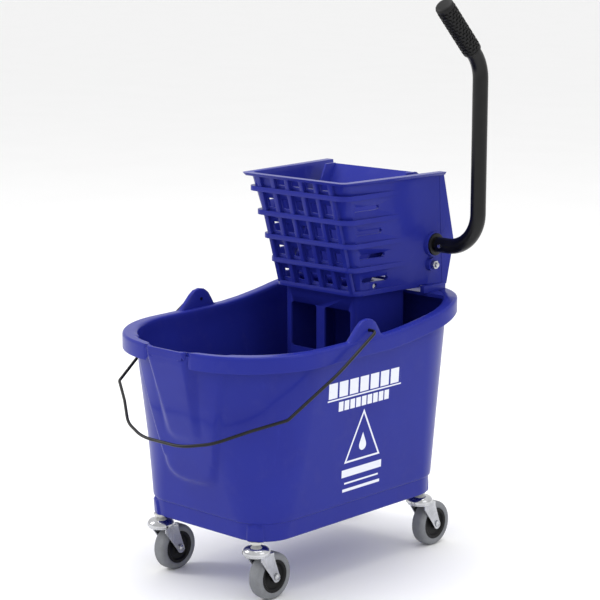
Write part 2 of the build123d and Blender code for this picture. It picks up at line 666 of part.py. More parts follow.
with BuildPart() as lever_tube:
    with BuildLine():
        lever_path = FilletPolyline((TUBE_START_X, SHAFT_Y, SHAFT_Z), (LEVER_X, SHAFT_Y, SHAFT_Z),
                                    lever_elbow, lever_tip, radius=60)
    with BuildSketch(Plane(origin=lever_path @ 0, z_dir=lever_path % 0)):
        Circle(TUBE_DIAMETER / 2)
        Circle(TUBE_DIAMETER / 2 - TUBE_WALL, mode=Mode.SUBTRACT)
    sweep()
    add(pin_bore(), mode=Mode.SUBTRACT)
write(lever_tube, "lever_tube")

grip_plane = Plane(origin=lever_tip - grip_direction * (GRIP_LENGTH - 4), z_dir=grip_direction)
with BuildPart() as lever_grip:
    with BuildSketch(grip_plane):
        Circle(GRIP_DIAMETER / 2)
    extrude(amount=GRIP_LENGTH)
    fillet(lever_grip.faces().sort_by(Axis.Z)[-1].edges(), 5)
    with BuildSketch(grip_plane):
        Circle(TUBE_DIAMETER / 2)
    extrude(amount=GRIP_LENGTH - 4, mode=Mode.SUBTRACT)
write(lever_grip, "lever_grip")

with BuildPart() as lever_pin:
    add(pin_bore())
write(lever_pin, "lever_pin")


# ---------------------------------------------------------------- casters
BALL_RADIUS = 2.4
BALL_RING = 16.0
BALL_COUNT = 14
CROWN_THICKNESS = 2.5
LEG_X = 13.5
LEG_THICKNESS = 2.5
DOME_TOP = 95.5
HUB_RADIUS = 25.0
AXLE_RADIUS = 4.0
ball_z = CROWN_Z + CROWN_THICKNESS + BALL_RADIUS + 0.1
dome_under = ball_z + BALL_RADIUS + 0.1

for corner, (stem_x, stem_y) in (("front_right", FRONT_STEM), ("front_left", (-FRONT_STEM[0], FRONT_STEM[1])),
                                 ("rear_right", REAR_STEM), ("rear_left", (-REAR_STEM[0], REAR_STEM[1]))):
    swivel_side = Plane(origin=(stem_x, stem_y, 0), x_dir=(1, 0, 0), z_dir=(0, -1, 0))
    swivel_axis = Axis((stem_x, stem_y, 0), (0, 0, 1))
    axle_y = stem_y + TRAIL

    with BuildPart() as stem:
        with BuildSketch(swivel_side):
            with BuildLine():
                Polyline((0, CROWN_Z - 3), (8, CROWN_Z - 3), (8, CROWN_Z - 0.3),
                         (STEM_DIAMETER / 2 - 0.05, CROWN_Z - 0.3), (STEM_DIAMETER / 2 - 0.05, FLOOR_Z + 38),
                         (STEM_DIAMETER / 2 - 2, FLOOR_Z + 40), (0, FLOOR_Z + 40), (0, CROWN_Z - 3))
            make_face()
        revolve(axis=swivel_axis)
    write(stem, f"caster_stem_{corner}")

    with BuildPart() as collar:
        with BuildSketch(swivel_side):
            with BuildLine():
                Polyline((STEM_DIAMETER / 2, DOME_TOP), (8.5, DOME_TOP), (12, FLOOR_Z - 1.5), (12, FLOOR_Z),
                         (SOCKET_RADIUS, FLOOR_Z), (SOCKET_RADIUS, FLOOR_Z + 36),
                         (STEM_DIAMETER / 2, FLOOR_Z + 36), (STEM_DIAMETER / 2, DOME_TOP))
            make_face()
        revolve(axis=swivel_axis)
    write(collar, f"caster_collar_{corner}")

    with BuildPart() as dome:
        with BuildSketch(swivel_side):
            with BuildLine():
                Polyline((STEM_DIAMETER / 2, dome_under), (20.5, dome_under), (20.5, CROWN_Z + CROWN_THICKNESS + 0.6),
                         (22.5, CROWN_Z + CROWN_THICKNESS + 0.6), (22.5, dome_under))
                Spline((22.5, dome_under), (18, dome_under + 6), (10, DOME_TOP - 2), (8.5, DOME_TOP))
                Polyline((8.5, DOME_TOP), (STEM_DIAMETER / 2, DOME_TOP), (STEM_DIAMETER / 2, dome_under))
            make_face()
        revolve(axis=swivel_axis)
    write(dome, f"caster_dome_{corner}")

    with BuildPart() as balls:
        with Locations((stem_x, stem_y, ball_z)):
            with PolarLocations(BALL_RING, BALL_COUNT):
                Sphere(BALL_RADIUS)
    write(balls, f"caster_balls_{corner}")

    with BuildPart() as fork:
        with BuildSketch(Plane.XY.offset(CROWN_Z)):
            with Locations((stem_x, stem_y)):
                Circle(20)
            with Locations((stem_x, stem_y + 10)):
                Rectangle(2 * (LEG_X + LEG_THICKNESS), 28)
            with Locations((stem_x, stem_y)):
                Circle(STEM_DIAMETER / 2, mode=Mode.SUBTRACT)
        extrude(amount=CROWN_THICKNESS)
        for side in (-1, 1):
            with BuildSketch(Plane.YZ.offset(stem_x + side * (LEG_X + LEG_THICKNESS / 2))):
                with BuildLine():
                    Polyline((stem_y - 4, CROWN_Z + CROWN_THICKNESS), (stem_y - 4, CROWN_Z - 8),
                             (axle_y - 8, WHEEL_RADIUS - 3))
                    ThreePointArc((axle_y - 8, WHEEL_RADIUS - 3), (axle_y, WHEEL_RADIUS - 9),
                                  (axle_y + 8, WHEEL_RADIUS - 3))
                    Polyline((axle_y + 8, WHEEL_RADIUS - 3), (stem_y + 24, CROWN_Z - 4),
                             (stem_y + 24, CROWN_Z + CROWN_THICKNESS), (stem_y - 4, CROWN_Z + CROWN_THICKNESS))
                make_face()
                with Locations((axle_y, WHEEL_RADIUS)):
                    Circle(AXLE_RADIUS, mode=Mode.SUBTRACT)
            extrude(amount=LEG_THICKNESS / 2, both=True)
    write(fork, f"caster_fork_{corner}")

    with BuildPart() as axle:
        reach = LEG_X + LEG_THICKNESS
        add(rod(stem_x - reach - 2, stem_x + reach + 3, axle_y, WHEEL_RADIUS, AXLE_RADIUS))
        add(rod(stem_x - reach - 3, stem_x - reach, axle_y, WHEEL_RADIUS, 6))
        add(rod(stem_x + reach, stem_x + reach + 2, axle_y, WHEEL_RADIUS, 5.5))
    write(axle, f"caster_axle_{corner}")

    hub_plane = Plane(origin=(stem_x, axle_y, WHEEL_RADIUS), x_dir=(1, 0, 0), z_dir=(0, -1, 0))
    wheel_axis = Axis((stem_x, axle_y, WHEEL_RADIUS), (1, 0, 0))
    half = WHEEL_WIDTH / 2
    with BuildPart() as hub:
        with BuildSketch(hub_plane):
            with BuildLine():
                Polyline((-half - 0.8, AXLE_RADIUS + SHAFT_CLEARANCE), (half + 0.8, AXLE_RADIUS + SHAFT_CLEARANCE),
                         (half + 0.8, 8), (half - 5, 10), (half - 5, 20), (half - 1, 22), (half - 1, HUB_RADIUS),
                         (-half + 1, HUB_RADIUS), (-half + 1, 22), (-half + 5, 20), (-half + 5, 10),
                         (-half - 0.8, 8), (-half - 0.8, AXLE_RADIUS + SHAFT_CLEARANCE))
            make_face()
        revolve(axis=wheel_axis)
    write(hub, f"wheel_hub_{corner}")

    with BuildPart() as tyre:
        with BuildSketch(hub_plane):
            with BuildLine():
                Polyline((-half + 6, WHEEL_RADIUS), (half - 6, WHEEL_RADIUS))
                ThreePointArc((half - 6, WHEEL_RADIUS), (half - 1.6, WHEEL_RADIUS - 2), (half, WHEEL_RADIUS - 7))
                Polyline((half, WHEEL_RADIUS - 7), (half, HUB_RADIUS + 1.5), (half - 1.5, HUB_RADIUS),
                         (-half + 1.5, HUB_RADIUS), (-half, HUB_RADIUS + 1.5), (-half, WHEEL_RADIUS - 7))
                ThreePointArc((-half, WHEEL_RADIUS - 7), (-half + 1.6, WHEEL_RADIUS - 2), (-half + 6, WHEEL_RADIUS))
            make_face()
        revolve(axis=wheel_axis)
    write(tyre, f"wheel_tyre_{corner}")
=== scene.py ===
"""Mop bucket on four casters with its side-press wringer: looks, light and camera.

Lengths in the geometry tables are millimetres in the bucket's own frame: x across from the bucket's
mid-plane, y from the middle of the wheelbase with the pouring lip towards -Y, and z up from the floor.
place() turns them into metres in the model's frame.
"""
import math
import bmesh
import bpy
from mathutils import Matrix, Vector


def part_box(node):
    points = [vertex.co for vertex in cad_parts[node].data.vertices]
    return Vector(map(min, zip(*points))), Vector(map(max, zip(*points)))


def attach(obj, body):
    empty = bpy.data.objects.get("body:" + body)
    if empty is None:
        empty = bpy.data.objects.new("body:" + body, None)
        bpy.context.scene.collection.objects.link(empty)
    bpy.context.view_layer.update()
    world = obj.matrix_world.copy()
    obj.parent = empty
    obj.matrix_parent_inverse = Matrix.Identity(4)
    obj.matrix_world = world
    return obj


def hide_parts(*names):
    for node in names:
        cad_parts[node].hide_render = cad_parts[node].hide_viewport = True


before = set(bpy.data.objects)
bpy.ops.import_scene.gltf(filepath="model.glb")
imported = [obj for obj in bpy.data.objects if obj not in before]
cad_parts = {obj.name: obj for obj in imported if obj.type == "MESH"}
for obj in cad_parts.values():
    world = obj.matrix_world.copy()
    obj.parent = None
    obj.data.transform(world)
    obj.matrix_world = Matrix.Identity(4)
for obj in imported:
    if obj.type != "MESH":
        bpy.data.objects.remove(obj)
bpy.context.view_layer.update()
MM = 0.001
STRAIGHT = 0.01  # least bend of a path that is rounded, in radians
bucket_low, bucket_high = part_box("bucket")
MIDDLE_X = (bucket_low.x + bucket_high.x) / 2
REAR_RIM = 277.0
MIDDLE_Y = bucket_high.y - REAR_RIM * MM


def place(x, y, z):
    """A point of the bucket's own frame, in millimetres, as metres in the model's frame."""
    return Vector((x * MM + MIDDLE_X, y * MM + MIDDLE_Y, z * MM))


# ---------------------------------------------------------------- small maths
def lerp(a, b, t):
    return a + (b - a) * t


def clamp(t, low=0.0, high=1.0):
    return max(low, min(high, t))


def smooth(t):
    """Eased step from 0 to 1."""
    t = clamp(t)
    return t * t * (3 - 2 * t)


def along(table, key):
    """Row of a table, interpolated by its first column."""
    if key <= table[0][0]:
        return table[0][1:]
    for low, high in zip(table, table[1:]):
        if key <= high[0]:
            t = (key - low[0]) / (high[0] - low[0])
            return tuple(lerp(a, b, t) for a, b in zip(low[1:], high[1:]))
    return table[-1][1:]


# ---------------------------------------------------------------- mesh helpers
def mesh_object(name, vertices, faces, material, body, slot, replaces=(), sharp=35):
    """A shaded mesh piece, outward faces, riding on a body."""
    mesh = bpy.data.meshes.new(name)
    mesh.from_pydata([tuple(v) for v in vertices], [], faces)
    work = bmesh.new()
    work.from_mesh(mesh)
    bmesh.ops.recalc_face_normals(work, faces=work.faces)
    work.to_mesh(mesh)
    work.free()
    finish_piece(name, mesh, material, body, replaces, sharp)


def finish_piece(name, mesh, material, body, replaces=(), sharp=35):
    """A finished mesh as a piece: material, smooth shading up to an angle in degrees, body and nodes."""
    mesh.materials.clear()
    mesh.materials.append(material)
    mesh.shade_smooth()
    mesh.set_sharp_from_angle(angle=math.radians(sharp))
    piece = bpy.data.objects.new(name, mesh)
    bpy.context.scene.collection.objects.link(piece)
    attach(piece, body)
    if replaces:
        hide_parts(*replaces)


def rings(rows, count, wrap=False):
    """Faces between each ring of a grid and the next; wrap also joins the last ring to the first."""
    faces = []
    for i in range(rows if wrap else rows - 1):
        j = (i + 1) % rows
        for k in range(count):
            m = (k + 1) % count
            faces.append((i * count + k, i * count + m, j * count + m, j * count + k))
    return faces


def caps(rows, count):
    """Faces that close the first and the last ring of a grid."""
    last = (rows - 1) * count
    return [tuple(range(count)), tuple(last + k for k in reversed(range(count)))]


def turned(profile, centre, axis, segments):
    """Rings of points from a profile of (along the axis, radius) pairs in millimetres, round a centre."""
    axis = Vector(axis).normalized()
    side = axis.orthogonal().normalized()
    other = axis.cross(side)
    vertices = []
    for position, radius in profile:
        for k in range(segments):
            turn = math.tau * k / segments
            spoke = side * math.cos(turn) + other * math.sin(turn)
            vertices.append(centre + (axis * position + spoke * radius) * MM)
    return vertices


def lathe(profile, centre, axis, segments):
    """A turned ring, open through its middle: the profile closes on itself."""
    return turned(profile, centre, axis, segments), rings(len(profile), segments, wrap=True)


def solid_lathe(profile, centre, axis, segments):
    """A turned bar, its ends closed at the first and last radius."""
    rows = len(profile)
    return turned(profile, centre, axis, segments), rings(rows, segments) + caps(rows, segments)


def join(*parts):
    """One vertex and face list out of several."""
    vertices, faces = [], []
    for part_vertices, part_faces in parts:
        base = len(vertices)
        vertices += part_vertices
        faces += [tuple(base + k for k in face) for face in part_faces]
    return vertices, faces


def rounded_path(corners, bends, step):
    """Polyline through corners in millimetres, each rounded to its own radius of bends."""
    points = [Vector(c) for c in corners]
    path = [points[0]]
    for before, corner, after, radius in zip(points, points[1:], points[2:], bends[1:]):
        into = (corner - before).normalized()
        out = (after - corner).normalized()
        bend = into.angle(out)
        if bend < STRAIGHT:
            continue
        start = corner - into * radius * math.tan(bend / 2)
        centre = corner + (out - into).normalized() * radius / math.cos(bend / 2)
        spin = into.cross(out).normalized()
        pieces = max(3, int(radius * bend / step))
        for k in range(pieces + 1):
            arm = start - centre
            arm.rotate(Matrix.Rotation(bend * k / pieces, 3, spin))
            path.append(centre + arm)
    path.append(points[-1])
    return path


def tube(path, radius, segments):
    """Round bar swept along a path given in millimetres of the bucket's frame."""
    rows = len(path)
    tangents = [(path[min(k + 1, rows - 1)] - path[max(k - 1, 0)]).normalized() for k in range(rows)]
    side = tangents[0].orthogonal().normalized()
    vertices = []
    for centre, tangent in zip(path, tangents):
        side = (side - tangent * side.dot(tangent)).normalized()
        other = tangent.cross(side)
        for k in range(segments):
            turn = math.tau * k / segments
            vertices.append(place(*(centre + (side * math.cos(turn) + other * math.sin(turn)) * radius)))
    return vertices, rings(rows, segments) + caps(rows, segments)


# ---------------------------------------------------------------- shader maths
class Socket:
    """A shader socket that takes part in Python arithmetic."""

    def __init__(self, tree, socket):
        self.tree = tree
        self.socket = socket

    def maths(self, operation, *others):
        """A maths node whose first value is this socket."""
        return add_node(self.tree, "ShaderNodeMath", 0, {"operation": operation}, (self, *others))

    def __add__(self, other):
        return self.maths("ADD", other)

    def __sub__(self, other):
        return self.maths("SUBTRACT", other)

    def __rsub__(self, other):
        return self.maths("MULTIPLY", -1.0).maths("ADD", other)

    def __mul__(self, other):
        return self.maths("MULTIPLY", other)

    def __truediv__(self, other):
        return self.maths("DIVIDE", other)

    def __rtruediv__(self, other):
        return self.maths("POWER", -1.0).maths("MULTIPLY", other)

    __radd__ = __add__
    __rmul__ = __mul__

    def minimum(self, other):
        return self.maths("MINIMUM", other)

    def maximum(self, other):
        return self.maths("MAXIMUM", other)

    def below(self, edge, blur):
        """1 where the value is under an edge, 0 above it, with a soft step."""
        return add_node(self.tree, "ShaderNodeMapRange", 0, {"interpolation_type": "SMOOTHSTEP"},
                        (self, edge - blur, edge + blur, 1.0, 0.0))

    def above(self, edge, blur):
        """1 where the value is over an edge."""
        return 1.0 - self.below(edge, blur)


def connect(tree, value, slot):
    """Link a socket to an input, or set the input to a value."""
    if isinstance(value, Socket):
        tree.links.new(value.socket, slot)
    else:
        slot.default_value = value


def add_node(tree, kind, output=0, settings=None, values=(), **inputs):
    """A node of any kind; returns one output.

    Its settings come first, then its inputs, by their order (values) or by name with _ for a space.
    """
    node = tree.nodes.new(kind)
    for key, value in (settings or {}).items():
        setattr(node, key, value)
    for slot, value in zip(node.inputs, values):
        connect(tree, value, slot)
    for key, value in inputs.items():
        connect(tree, value, node.inputs[key.replace("_", " ")])
    return Socket(tree, node.outputs[output])


class Builder:
    """A node tree under construction."""

    def add(self, kind, *details, **inputs):
        return add_node(self.tree, kind, *details, **inputs)


class Shader(Builder):
    """A material round one Principled surface."""

    def __init__(self, name):
        self.material = bpy.data.materials.new(name)
        self.material.use_nodes = True
        self.tree = self.material.node_tree
        self.surface = self.tree.nodes["Principled BSDF"]

    def coordinates(self):
        return self.add("ShaderNodeTexCoord", "Object")

    def axes(self):
        """The three object coordinates, one socket each, in metres."""
        x = self.add("ShaderNodeSeparateXYZ", Vector=self.coordinates())
        return [Socket(self.tree, out) for out in x.socket.node.outputs]

    def noise(self, scale, detail=4.0, roughness=0.55, stretch=None):
        """Cloudy pattern, scale in cycles a metre; stretch scales each axis."""
        where = self.coordinates()
        if stretch:
            where = self.add("ShaderNodeMapping", Vector=where, Scale=stretch)
        return self.add("ShaderNodeTexNoise", "Fac", Vector=where, Scale=scale, Detail=detail,
                        Roughness=roughness)

    def cells(self, scale):
        """Distance to the nearest of scattered points."""
        return self.add("ShaderNodeTexVoronoi", "Distance", Vector=self.coordinates(), Scale=scale)

    def mix(self, factor, first, second):
        """Colour between two colours; a mix node's colour inputs are its sixth and seventh."""
        blend = self.add("ShaderNodeMix", 2, {"data_type": "RGBA"}, (factor,))
        for slot, colour in ((6, first), (7, second)):
            connect(self.tree, colour, blend.socket.node.inputs[slot])
        return blend

    def bump(self, height, strength, distance):
        return self.add("ShaderNodeBump", Height=height, Strength=strength, Distance=distance)

    def set(self, **inputs):
        """Link or fix inputs of the surface, named with _ for a space."""
        for key, value in inputs.items():
            connect(self.tree, value, self.surface.inputs[key.replace("_", " ")])


def rgb(red, green, blue):
    """Linear colour from display values of 0 to 255."""
    parts = []
    for value in (red, green, blue):
        share = value / 255
        parts.append(share / 12.92 if share <= 0.04045 else ((share + 0.055) / 1.055) ** 2.4)
    return (*parts, 1.0)


# ---------------------------------------------------------------- materials
def plastic(name, base, shade, roughness, grain, coat=0.0, gloss=0.5):
    """Moulded plastic: slow colour drift, fine leathery grain, faint scuffs and a little settled dust."""
    look = Shader(name)
    drift = look.noise(9.0, 3.0)
    fine = look.noise(900.0, 2.0)
    scuff = look.noise(60.0, 6.0, 0.7, (1.0, 1.0, 0.25)).above(0.66, 0.05)
    dust = look.noise(35.0, 5.0, 0.65).above(0.62, 0.12)
    colour = look.mix(drift.above(0.5, 0.25) * 0.8, base, shade)
    scuffed = tuple(min(1.0, c * 1.6 + 0.02) for c in base[:3]) + (1.0,)
    colour = look.mix(scuff * 0.08, colour, scuffed)
    colour = look.mix(dust * 0.012, colour, (0.4, 0.4, 0.42, 1.0))
    rough = roughness + (drift - 0.5) * 0.08 + scuff * 0.12 + dust * 0.06
    grains = fine + look.cells(420.0) * 0.5
    look.set(Base_Color=colour, Roughness=rough, Normal=look.bump(grains, grain, 0.0003),
             Specular_IOR_Level=gloss, Coat_Weight=coat, Coat_Roughness=0.12)
    return look


def metal(name, base, worn, roughness, grain_axis, strength=0.05):
    """Plated steel: brushed streaks, cloudy passivation and darker rubbed spots."""
    look = Shader(name)
    streak = look.noise(140.0, 4.0, 0.6, grain_axis)
    cloud = look.noise(45.0, 4.0)
    spots = look.cells(260.0).below(0.16, 0.08) * look.noise(30.0).above(0.5, 0.1)
    colour = look.mix(cloud.above(0.52, 0.2) * 0.55 + spots * 0.35, base, worn)
    look.set(Base_Color=colour, Roughness=roughness + (streak - 0.5) * 0.18 + spots * 0.2,
             Normal=look.bump(streak, strength, 0.0002), Metallic=1.0)
    return look


def paint(name):
    """Black powder coat: orange-peel bump, rubbed patches and dusty patches."""
    look = Shader(name)
    peel = look.cells(520.0)
    dust = look.noise(40.0, 5.0).above(0.55, 0.15)
    rubbed = look.noise(110.0, 6.0, 0.7).above(0.68, 0.04)
    colour = look.mix(dust * 0.2, rgb(8, 8, 9), rgb(26, 26, 28))
    colour = look.mix(rubbed * 0.25, colour, rgb(54, 54, 57))
    look.set(Base_Color=colour, Roughness=0.30 + dust * 0.12 + rubbed * 0.1,
             Normal=look.bump(peel, 0.12, 0.0003), Specular_IOR_Level=0.3)
    return look


def rubber(name, base, light, roughness, grain):
    """Matt rubber: mottled, with fine pores and pale bloom."""
    look = Shader(name)
    pores = look.cells(700.0)
    bloom = look.noise(50.0, 5.0, 0.65)
    colour = look.mix(bloom.above(0.5, 0.2) * 0.6, base, light)
    pore_dark = tuple(0.5 * c for c in base[:3]) + (1.0,)
    colour = look.mix(pores.below(0.12, 0.06) * 0.4, colour, pore_dark)
    look.set(Base_Color=colour, Roughness=roughness + (bloom - 0.5) * 0.15,
             Normal=look.bump(pores + look.noise(300.0) * 0.6, grain, 0.0004), Specular_IOR_Level=0.25)
    return look


BLUE = (0.0165, 0.0240, 0.255, 1.0)
BLUE_SHADE = (0.0150, 0.0195, 0.222, 1.0)
PRINT_WHITE = rgb(226, 229, 240)


def blue_plastic(name):
    return plastic(name, BLUE, BLUE_SHADE, 0.3, 0.05, 0.08, 0.10)


def band(value, low, high, blur=0.0004):
    """1 between two limits of a value, in metres."""
    return value.above(low, blur) * value.below(high, blur)


# The print on the side wall, in metres: its mid-line leans forward with height
PRINT_FORWARD = 0.008
PRINT_LEVEL = 0.330
PRINT_LEAN = 0.0955
PRINT_FROM_X = 0.12
# Rows of blocks: half width, low, high, pitch, count, share of the pitch that is filled, blur of its ends
BLOCK_ROWS = ((0.086, 0.319, 0.3445, 0.0246, 7, 0.82, 0.02),
              (0.0615, 0.2945, 0.3105, 0.0137, 9, 0.80, 0.03))
# Plain bars: half width, low, high
BARS = ((0.088, 0.3145, 0.3168), (0.048, 0.178, 0.191), (0.041, 0.1655, 0.1685),
        (0.045, 0.1525, 0.1575))
TRIANGLE_FOOT, TRIANGLE_TOP, TRIANGLE_HALF, TRIANGLE_LINE = 0.202, 0.288, 0.043, 0.0032
DROP_RADIUS, DROP_CENTRE, DROP_NECK, DROP_TOP = 0.0085, 0.226, 0.2295, 0.250


def printed(look):
    """Plain white blocks, bars and an outlined triangle with a drop, on the right side wall."""
    x, y, z = look.axes()
    u = y - MIDDLE_Y + PRINT_FORWARD - (PRINT_LEVEL - z) * PRINT_LEAN
    slope = TRIANGLE_HALF / (TRIANGLE_TOP - TRIANGLE_FOOT)
    side = TRIANGLE_HALF - (z - TRIANGLE_FOOT) * slope - u.maths("ABSOLUTE")
    inside = (z - TRIANGLE_FOOT).minimum(side / math.hypot(1, slope))
    marks = band(inside, 0.0, TRIANGLE_LINE)
    for half, low, high, pitch, count, filled, blur in BLOCK_ROWS:
        blocks = (u / pitch + count / 2).maths("FRACT").below(filled, blur)
        marks = marks.maximum(band(u, -half, half) * band(z, low, high) * blocks)
    for half, low, high in BARS:
        marks = marks.maximum(band(u, -half, half) * band(z, low, high))
    drop_x = u / DROP_RADIUS
    drop_z = (z - DROP_CENTRE) / DROP_RADIUS
    belly = (drop_x * drop_x + drop_z * drop_z).below(1.0, 0.05)
    tip = (drop_x.maths("ABSOLUTE") * 2.3 + drop_z).below(2.6, 0.08) * band(z, DROP_NECK, DROP_TOP)
    return marks.maximum(belly).maximum(tip) * x.above(PRINT_FROM_X, 0.001)


bucket_blue = blue_plastic("bucket_blue")
bucket_marks = printed(bucket_blue)
plain_blue = bucket_blue.surface.inputs["Base Color"].links[0].from_socket
bucket_under = Socket(bucket_blue.tree, plain_blue)
bucket_blue.set(Base_Color=bucket_blue.mix(bucket_marks, bucket_under, PRINT_WHITE))
wringer_blue = blue_plastic("wringer_blue")
powder_black = paint("powder_black")
wire_black = paint("wire_black")
zinc = metal("zinc", rgb(196, 198, 202), rgb(150, 150, 154), 0.26, (1.0, 1.0, 0.15))
bright_plate = metal("bright_plate", rgb(196, 197, 200), rgb(140, 140, 144), 0.16,
                     (0.3, 0.3, 1.0), 0.02)
spring_steel = metal("spring_steel", rgb(150, 150, 152), rgb(96, 92, 88), 0.34, (1.0, 0.2, 1.0))
white_nylon = plastic("white_nylon", rgb(226, 226, 222), rgb(208, 207, 200), 0.42, 0.12)
black_nylon = plastic("black_nylon", rgb(16, 16, 17), rgb(10, 10, 11), 0.42, 0.16, 0.0, 0.25)
hub_nylon = plastic("hub_nylon", rgb(14, 14, 15), rgb(8, 8, 9), 0.45, 0.16, 0.0, 0.2)
tyre_rubber = rubber("tyre_rubber", rgb(112, 114, 118), rgb(134, 136, 140), 0.62, 0.22)
grip_rubber = rubber("grip_rubber", rgb(9, 9, 10), rgb(19, 19, 20), 0.46, 0.28)


# ---------------------------------------------------------------- bucket
FLOOR_Z = 101.0
LEDGE_Z = 131.0
WALL = 4.0
FLOOR_MIDDLE_Y = 10.0
# Plans of the foot and the wall: level, half width, front, rear, front corner, rear corner
FOOT = ((101, 139.5, -206, 228, 56, 60), (131, 141.5, -210, 229, 62, 63))
BODY = ((131, 144.5, -213, 232, 66, 66), (180, 150.6, -222, 237, 84, 76),
        (235, 157.6, -232, 242, 103, 87), (384, 177.8, -261, 256, 148, 118),
        (446, 179.0, -263, 257, 149, 119))
# Plan of the rim's outer edge: half width, front, rear, front corner, rear corner
RIM = (194.0, -277.0, REAR_RIM, 150.0, 130.0)
# Height of the rim's crown from front to rear
RIM_LINE = ((-300, 405.5), (30, 410), (70, 413.6), (110, 419), (135, 423.2), (160, 428), (190, 434),
            (215, 438.2), (232, 439.1), (300, 439.3))
RIM_DROP = 26.0
# The pouring lip, and the plain blocks of rim on each side of it
SPOUT_HALF = 40.0
SPOUT_REACH = 5.6
SPOUT_BLUR = 1.4
LIP_DROP = 0.6
BLOCK_END = 50.0
BLOCK_DROP = 19.0
BLOCK_BLUR = 1.6
BLOCK_PROUD = 1.6
# Channel below the lip: a wide step with a rounded foot, and a narrower swelling that stands on it
STEP_TOP, STEP_BEND, STEP_HALF, STEP_WIDENS = 216.0, 38.0, 62.0, 32 / 142
STEP_DEPTH, STEP_FADE, STEP_POWER = 5.6, 9.0, 2.8
SWELL_FOOT, SWELL_HALF, SWELL_WIDENS, SWELL_CORNER = 246.0, 40.0, 14 / 155, 24.0
SWELL_DEPTH, SWELL_GROWTH, SWELL_HEIGHT, SWELL_FADE = 1.6, 12.6, 145.0, 17.0
CHANNEL_BACK = -120.0
CHANNEL_RIM_Z = 404.0
# The ears that carry the bail: height along the rim, and the share of the rim's width that they take
BAIL_Y = -25.0
BAIL_Z = 423.0
EAR_INNER = 0.42
EAR_OUTER = 0.86
EAR_LOW_Y, EAR_HIGH_Y = -82.0, 16.0
EAR_PROFILE = ((-76, 0), (-70, 1.5), (-62, 9), (-47, 23.5), (-38, 29.6), (-27, 31.8), (-16, 29.6),
               (-7, 23.0), (0, 12.5), (5, 3.5), (10, 0))
# The columns that take the caster stems
STEMS = ((108.4, -193.5), (118.2, 193.6))
COLUMN = 15.0
COLUMN_PROUD = 3.2
COLUMN_NEAR = 40.0


def rim_height(y):
    return along(RIM_LINE, y)[0]


def even(count, start=0.0, end=1.0):
    """Shares from start up to but not including end."""
    return [start + (end - start) * k / count for k in range(count)]


def stations():
    """Where the bucket's upright grid lines stand: segment of the outline and share along it.

    Segments 0 to 7 run from the front's left end through the right side and the rear back to it, with the
    corners on the odd numbers. Lines gather at the ends of the pouring lip and round the ears.
    """
    half = RIM[0] - RIM[3]
    marks = (-44, -42.2, -40.4, -39, -36, -32, -28, -24, -20, -16, -12, -8, -4, 0)
    front = [(mark + half) / (2 * half) for mark in marks]
    front += [1 - share for share in reversed(front[1:-1])]
    side_start = RIM[1] + RIM[3]
    side_length = RIM[2] - RIM[4] - side_start
    ear_start = (EAR_LOW_Y - side_start) / side_length
    ear_end = (EAR_HIGH_Y - side_start) / side_length
    side = even(12, 0, ear_start) + even(46, ear_start, ear_end) + even(34, ear_end, 1)
    back = [0.0] + [1 - share for share in reversed(side[1:])]
    shares = (front, even(76), side, even(36), even(20), even(36), back, even(76))
    return [(segment, share) for segment, row in enumerate(shares) for share in row]


STATIONS = stations()


def outline(section, inset=0.0):
    """Points and outward directions of the bucket's plan at every station."""
    half, front, rear, front_corner, rear_corner = section
    half -= inset
    front += inset
    rear -= inset
    front_corner = max(front_corner - inset, 1.0)
    rear_corner = max(rear_corner - inset, 1.0)
    result = []
    for segment, share in STATIONS:
        sign = 1 if segment in (1, 2, 3, 4) else -1
        if segment in (0, 4):
            reach = half - (front_corner if segment == 0 else rear_corner)
            edge = front if segment == 0 else rear
            result.append((lerp(sign * reach, -sign * reach, share), edge, 0.0, float(sign)))
        elif segment in (2, 6):
            low, high = front + front_corner, rear - rear_corner
            y = lerp(low, high, share) if sign > 0 else lerp(high, low, share)
            result.append((sign * half, y, float(sign), 0.0))
        else:
            turn = math.radians({1: -90, 3: 0, 5: 90, 7: 180}[segment] + 90 * share)
            radius = front_corner if segment in (1, 7) else rear_corner
            middle_x = sign * (half - radius)
            middle_y = front + radius if segment in (1, 7) else rear - radius
            nx, ny = math.cos(turn), math.sin(turn)
            result.append((middle_x + radius * nx, middle_y + radius * ny, nx, ny))
    return result


def swell(x, y, z):
    """How far the pouring channel stands proud of the front wall at a point."""
    if y > CHANNEL_BACK or z < STEP_TOP - STEP_BEND:
        return 0.0
    x = abs(x)
    if z > STEP_TOP:
        inside = (STEP_HALF + (z - STEP_TOP) * STEP_WIDENS - x) * 0.97
    else:
        corner = (x / STEP_HALF) ** STEP_POWER + ((STEP_TOP - z) / STEP_BEND) ** STEP_POWER
        inside = (1 - corner ** (1 / STEP_POWER)) * STEP_BEND
    amount = STEP_DEPTH * smooth(inside / STEP_FADE)
    rise = z - SWELL_FOOT
    if rise > 0:
        half = SWELL_HALF + rise * SWELL_WIDENS
        round_x = half - SWELL_CORNER
        if x > round_x and rise < SWELL_CORNER:
            edge = SWELL_CORNER - math.hypot(x - round_x, SWELL_CORNER - rise)
        else:
            edge = min(half - x, rise + 1)
        amount += (SWELL_DEPTH + SWELL_GROWTH * clamp(rise / SWELL_HEIGHT)) * smooth(edge / SWELL_FADE)
    return amount


def columned(points, grow=0.0):
    """The plan pushed out round the columns that take the casters."""
    radius = COLUMN + grow
    result = []
    for x, y, nx, ny in points:
        for stem_x, stem_y in STEMS:
            dx = x - math.copysign(stem_x, x)
            dy = y - stem_y
            away = dx * nx + dy * ny
            across = dx * -ny + dy * nx
            if abs(across) < radius and abs(away) < COLUMN_NEAR:
                target = math.sqrt(radius * radius - across * across)
                push = clamp(target - away, 0.0, COLUMN_PROUD)
                x, y = x + nx * push, y + ny * push
        result.append((x, y, nx, ny))
    return result


